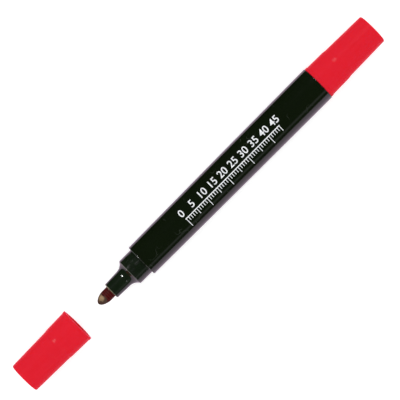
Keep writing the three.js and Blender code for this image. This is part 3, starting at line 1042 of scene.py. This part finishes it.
plug = turn(
    "plug_moulding",
    PLUG_X,
    [
        (PLUG_LENGTH - PLUG_END_WALL, 0),
        (PLUG_LENGTH - PLUG_END_WALL, PLUG_BORE_END),
        (-PLUG_SPIGOT_LENGTH, PLUG_BORE),
        (-PLUG_SPIGOT_LENGTH, SPIGOT_RADIUS - SPIGOT_CHAMFER),
        (SPIGOT_CHAMFER - PLUG_SPIGOT_LENGTH, SPIGOT_RADIUS),
        (0, SPIGOT_RADIUS),
        *common_form(PLUG_LENGTH),
    ],
    rounds=common_rounds(PLUG_LENGTH),
)
finish_surface(plug)
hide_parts("rear_plug")
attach(plug, "marker")


def red_polypropylene(piece, name):
    """Red polypropylene with a soft gloss, which lets a little light glow through its walls. Pigment has
    flowed in faint streaks away from the gate, and pockets and desks have left fine scuffs, which are drawn
    0.5 mm wide so that they show."""
    tree = give_material(piece, name)
    place = add_node(tree, "ShaderNodeTexCoord").outputs["Object"]
    flowing = add_node(tree, "ShaderNodeMapping", {"Vector": place, "Scale": (0.3, 1, 1)})
    flow = add_node(
        tree,
        "ShaderNodeTexNoise",
        {"Vector": flowing.outputs["Vector"], "Scale": PER_MM / 5, "Detail": 3},
    )
    colour = add_node(
        tree,
        "ShaderNodeMix",
        {"Factor": flow.outputs["Fac"], "A": linear("#de2030"), "B": linear("#e32333")},
        data_type="RGBA",
    )
    scuffs = add_node(tree, "ShaderNodeTexNoise", {"Vector": place, "Scale": PER_MM / 0.5, "Detail": 4})
    gloss = add_node(
        tree,
        "ShaderNodeMapRange",
        {"Value": scuffs.outputs["Fac"], "From Min": 0.4, "From Max": 0.7, "To Min": 0.16, "To Max": 0.21},
    )
    waves = add_node(tree, "ShaderNodeBump", {"Height": flow.outputs["Fac"], "Distance": 0.02 * MM})
    relief = add_node(
        tree,
        "ShaderNodeBump",
        {"Height": scuffs.outputs["Fac"], "Distance": 0.004 * MM, "Normal": waves.outputs["Normal"]},
    )
    shader = add_node(
        tree,
        "ShaderNodeBsdfPrincipled",
        {
            "Base Color": colour.outputs["Result"],
            "Roughness": gloss.outputs["Result"],
            "Specular IOR Level": 0.02,
            "Subsurface Weight": 0.3,
            "Subsurface Scale": 2 * MM,
            "Normal": relief.outputs["Normal"],
        },
    )
    add_node(tree, "ShaderNodeOutputMaterial", {"Surface": shader.outputs["BSDF"]})


red_polypropylene(plug, "polypropylene_red_plug")


# Cap
# The red polypropylene cap, moulded like the plug. Inside, its bore slides over the collar, a snap bead
# near the mouth holds it there, and a narrower deep bore takes the seal. It lies off in front of the nib.
cap_low, cap_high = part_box("cap_shell")
CAP_MOUTH_X = cap_high[0]
CAP_LENGTH = (cap_high[0] - cap_low[0]) / MM
CAP_BORE = 5.48
CAP_MOUTH_CHAMFER = 0.3
CAP_MOUTH_EDGE = 0.08  # softened widths
COLLAR_BORE_EDGE = 0.15
BEAD_DEPTH = 2.2
BEAD_HALF_WIDTH = 0.6
BEAD_RADIUS = 5.39
COLLAR_BORE_DEPTH = 7.0
CAP_WALL = 1.1
CAP_END_WALL = 2.0

bead_flank = (CAP_BORE + 3 * BEAD_RADIUS) / 4  # its radius at half its width, which rounds it
deep_bore = form_radius(STEP_DEPTH + STEP_WIDTH, CAP_LENGTH) - CAP_WALL
deep_end = CAP_LENGTH - CAP_END_WALL
cap = turn(
    "cap_moulding",
    CAP_MOUTH_X,
    [
        *reversed(common_form(CAP_LENGTH)),
        (0, CAP_BORE + CAP_MOUTH_CHAMFER),
        (CAP_MOUTH_CHAMFER, CAP_BORE),
        (BEAD_DEPTH - BEAD_HALF_WIDTH, CAP_BORE),
        (BEAD_DEPTH - BEAD_HALF_WIDTH / 2, bead_flank),
        (BEAD_DEPTH, BEAD_RADIUS),
        (BEAD_DEPTH + BEAD_HALF_WIDTH / 2, bead_flank),
        (BEAD_DEPTH + BEAD_HALF_WIDTH, CAP_BORE),
        (COLLAR_BORE_DEPTH, CAP_BORE),
        (COLLAR_BORE_DEPTH, deep_bore),
        (STEP_DEPTH + STEP_WIDTH, deep_bore),
        (deep_end, form_radius(deep_end, CAP_LENGTH) - CAP_WALL),
        (deep_end, 0),
    ],
    toward=-1,
    rounds=[
        *common_rounds(CAP_LENGTH),
        (0, CAP_BORE + CAP_MOUTH_CHAMFER, CAP_MOUTH_EDGE),
        (COLLAR_BORE_DEPTH, deep_bore, COLLAR_BORE_EDGE),
    ],
)
finish_surface(cap)
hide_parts("cap_shell")
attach(cap, "cap")
red_polypropylene(cap, "polypropylene_red_cap")


# Inner seal
# A soft cup of natural polyethylene, pushed to the bottom of the cap, where its flange holds. With the cap
# on, its mouth closes on the nozzle so that the nib stays wet.
seal_low, seal_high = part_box("cap_inner_seal")
SEAL_X = seal_high[0]
SEAL_LENGTH = (seal_high[0] - seal_low[0]) / MM
SEAL_RADIUS = 4.15
SEAL_BORE = 3.45
SEAL_BORE_END = 3.39
SEAL_LEAD_IN = 0.4
SEAL_END_WALL = 1.0
FLANGE_RADIUS = 5.07
FLANGE_LENGTH = 1.2
FLANGE_EDGE = 0.15  # softened widths
SEAL_BORE_EDGE = 0.12
SEAL_END_EDGE = 0.3

seal = turn(
    "seal_cup",
    SEAL_X,
    [
        (SEAL_LENGTH, 0),
        (SEAL_LENGTH, SEAL_RADIUS),
        (FLANGE_LENGTH, SEAL_RADIUS),
        (FLANGE_LENGTH, FLANGE_RADIUS),
        (0, FLANGE_RADIUS),
        (0, SEAL_BORE + SEAL_LEAD_IN),
        (SEAL_LEAD_IN, SEAL_BORE),
        (SEAL_LENGTH - SEAL_END_WALL, SEAL_BORE_END),
        (SEAL_LENGTH - SEAL_END_WALL, 0),
    ],
    toward=-1,
    rounds=[
        (SEAL_LENGTH, SEAL_RADIUS, SEAL_END_EDGE),
        (0, FLANGE_RADIUS, FLANGE_EDGE),
        (0, SEAL_BORE + SEAL_LEAD_IN, SEAL_BORE_EDGE),
        (SEAL_LEAD_IN, SEAL_BORE, SEAL_BORE_EDGE),
    ],
)
finish_surface(seal)
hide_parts("cap_inner_seal")
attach(seal, "cap")

# Natural low-density polyethylene: waxy, cloudy white, light passing a little way into it, with ink
# stains round the bore where the wet nib has touched.
tree = give_material(seal, "polyethylene_natural")
place = add_node(tree, "ShaderNodeTexCoord").outputs["Object"]
cloud = add_node(tree, "ShaderNodeTexNoise", {"Vector": place, "Scale": PER_MM / 2.5, "Detail": 3})
stained = add_node(
    tree,
    "ShaderNodeMapRange",
    {"Value": cloud.outputs["Fac"], "From Min": 0.55, "From Max": 0.75, "To Min": 0, "To Max": 0.5},
)
colour = add_node(
    tree,
    "ShaderNodeMix",
    {"Factor": stained.outputs["Result"], "A": linear("#ebe9e2"), "B": linear("#c98287")},
    data_type="RGBA",
)
relief = add_node(tree, "ShaderNodeBump", {"Height": cloud.outputs["Fac"], "Distance": 0.02 * MM})
shader = add_node(
    tree,
    "ShaderNodeBsdfPrincipled",
    {
        "Base Color": colour.outputs["Result"],
        "Roughness": 0.42,
        "Subsurface Weight": 0.2,
        "Subsurface Scale": 1.5 * MM,
        "Normal": relief.outputs["Normal"],
    },
)
add_node(tree, "ShaderNodeOutputMaterial", {"Surface": shader.outputs["BSDF"]})


# Table
# A plain white sweep that runs far beyond the picture. It shows white to the camera, faintly mauve in the
# black gloss, and the marker still leaves a soft shadow where it rests.
TABLE_SIZE = 6  # metres
TABLE_GLOW = 0.5
TABLE_GLOW_MIRRORED = 0.3
deselect_everything()
bpy.ops.mesh.primitive_plane_add(size=TABLE_SIZE, location=(0, 0, 0))
table = bpy.context.object
table.name = "table"
tree = give_material(table, "board_white_matt")
place = add_node(tree, "ShaderNodeTexCoord").outputs["Object"]
grain = add_node(tree, "ShaderNodeTexNoise", {"Vector": place, "Scale": PER_MM / 4, "Detail": 3})
colour = add_node(
    tree,
    "ShaderNodeMix",
    {"Factor": grain.outputs["Fac"], "A": linear("#eeeeee"), "B": linear("#f0f0f0")},
    data_type="RGBA",
)
ray = add_node(tree, "ShaderNodeLightPath")
cast = add_node(
    tree,
    "ShaderNodeMix",
    {"Factor": ray.outputs["Is Glossy Ray"], "A": linear("#ffffff"), "B": linear("#ffe6ff")},
    data_type="RGBA",
)
colour = add_node(
    tree,
    "ShaderNodeMix",
    {"Factor": 1, "A": colour.outputs["Result"], "B": cast.outputs["Result"]},
    data_type="RGBA",
    blend_type="MULTIPLY",
)
matt = add_node(tree, "ShaderNodeBsdfDiffuse", {"Color": colour.outputs["Result"]})
seen = add_node(
    tree,
    "ShaderNodeMath",
    {0: ray.outputs["Is Camera Ray"], 1: ray.outputs["Is Transmission Ray"]},
    operation="MAXIMUM",
)
mirrored = add_node(
    tree,
    "ShaderNodeMath",
    {0: ray.outputs["Is Glossy Ray"], 1: TABLE_GLOW_MIRRORED},
    operation="MULTIPLY",
)
glow = add_node(
    tree,
    "ShaderNodeMath",
    {0: seen.outputs["Value"], 1: TABLE_GLOW, 2: mirrored.outputs["Value"]},
    operation="MULTIPLY_ADD",
)
lift = add_node(
    tree, "ShaderNodeEmission", {"Color": cast.outputs["Result"], "Strength": glow.outputs["Value"]}
)
surface = add_node(tree, "ShaderNodeAddShader", {0: matt.outputs["BSDF"], 1: lift.outputs["Emission"]})
add_node(tree, "ShaderNodeOutputMaterial", {"Surface": surface.outputs["Shader"]})

# Dark card
# A low black card stands along the far side, as a photographer sets one, so that the table isn't mirrored
# in that side of the gloss. Only reflections see it.
CARD_Y = 18.5 * MM
CARD_HEIGHT = 16 * MM
CARD_LENGTH = 260 * MM
deselect_everything()
bpy.ops.mesh.primitive_plane_add(size=1, location=(0, CARD_Y, CARD_HEIGHT / 2), rotation=(pi / 2, 0, 0))
card = bpy.context.object
card.name = "dark_card"
card.scale = (CARD_LENGTH, CARD_HEIGHT, 1)
card.visible_camera = card.visible_diffuse = card.visible_transmission = card.visible_shadow = False
tree = give_material(card, "card_black")
matt = add_node(tree, "ShaderNodeBsdfDiffuse", {"Color": linear("#0a0a0a")})
add_node(tree, "ShaderNodeOutputMaterial", {"Surface": matt.outputs["BSDF"]})

# Light
# Even light from all round, with a dark ceiling in the reflections. Above the far side hang a small main
# lamp towards the nib and a dimmer one towards the plug, each in a panel that only the gloss sees. Low on
# the near side a long weak strip draws a line along the gloss, and a small panel puts a spot on the nozzle.
AMBIENT = 1.18
CEILING = 0.006
world = bpy.data.worlds.new("studio")
bpy.context.scene.world = world
world.use_nodes = True
tree = world.node_tree
tree.nodes.clear()
ray = add_node(tree, "ShaderNodeLightPath")
behind = add_node(
    tree,
    "ShaderNodeMath",
    {0: ray.outputs["Is Camera Ray"], 1: ray.outputs["Is Transmission Ray"]},
    operation="MAXIMUM",
)
lighting = add_node(
    tree, "ShaderNodeMix", {"Factor": ray.outputs["Is Glossy Ray"], "A": AMBIENT, "B": CEILING}
)
strength = add_node(
    tree, "ShaderNodeMix", {"Factor": behind.outputs["Value"], "A": lighting.outputs["Result"], "B": 1.0}
)
background = add_node(tree, "ShaderNodeBackground", {"Strength": strength.outputs["Result"]})
add_node(tree, "ShaderNodeOutputWorld", {"Surface": background.outputs["Background"]})


def add_lamp(name, direction, distance, along, across, power, gloss_only=False):
    """A rectangular lamp that looks at the middle of the marker from a direction, so long along the marker
    and so wide across it."""
    length = sqrt(sum(part**2 for part in direction))
    x, y, z = (part / length for part in direction)
    deselect_everything()
    bpy.ops.object.light_add(type="AREA", location=(x * distance, y * distance, AXIS_Z + z * distance))
    lamp = bpy.context.object
    lamp.name = lamp.data.name = name
    lamp.rotation_mode = "YXZ"
    lamp.rotation_euler = (-atan2(y, z), asin(x), 0)
    lamp.data.shape = "RECTANGLE"
    lamp.data.size = along
    lamp.data.size_y = across
    lamp.data.energy = power
    lamp.visible_diffuse = not gloss_only


add_lamp("main_lamp", (-0.36, 0.54, 0.76), 0.65, along=0.03, across=0.03, power=0.22)
add_lamp("rear_lamp", (0.36, 0.5, 0.79), 0.65, along=0.03, across=0.03, power=0.08)
add_lamp("front_glint", (-0.42, 0.53, 0.74), 0.66, along=0.09, across=0.2, power=2.4, gloss_only=True)
add_lamp("rear_glint", (0.36, 0.5, 0.79), 0.66, along=0.08, across=0.2, power=1.9, gloss_only=True)
add_lamp("near_glint", (-0.36, -0.7, 0.62), 0.66, along=0.08, across=0.08, power=0.16, gloss_only=True)
add_lamp("edge_strip", (0, -0.9, 0.436), 0.6, along=1.4, across=0.14, power=0.19)

# Camera
# It hangs straight above the marker with a long lens, turned so that the nib points down to the left.
CAMERA_FOOT = (0.001225, 0.00046)
CAMERA_HEIGHT = 1.1105  # above the marker's axis
CAMERA_TURN = radians(-45.13)
CAMERA_LENS = 289.7
CAMERA_SENSOR = 36
deselect_everything()
bpy.ops.object.camera_add(
    location=(*CAMERA_FOOT, AXIS_Z + CAMERA_HEIGHT), rotation=(0, 0, CAMERA_TURN)
)
camera = bpy.context.object
camera.name = "camera"
camera.data.lens = CAMERA_LENS
camera.data.sensor_width = CAMERA_SENSOR
bpy.context.scene.camera = camera
bpy.context.scene.view_settings.view_transform = "Standard"
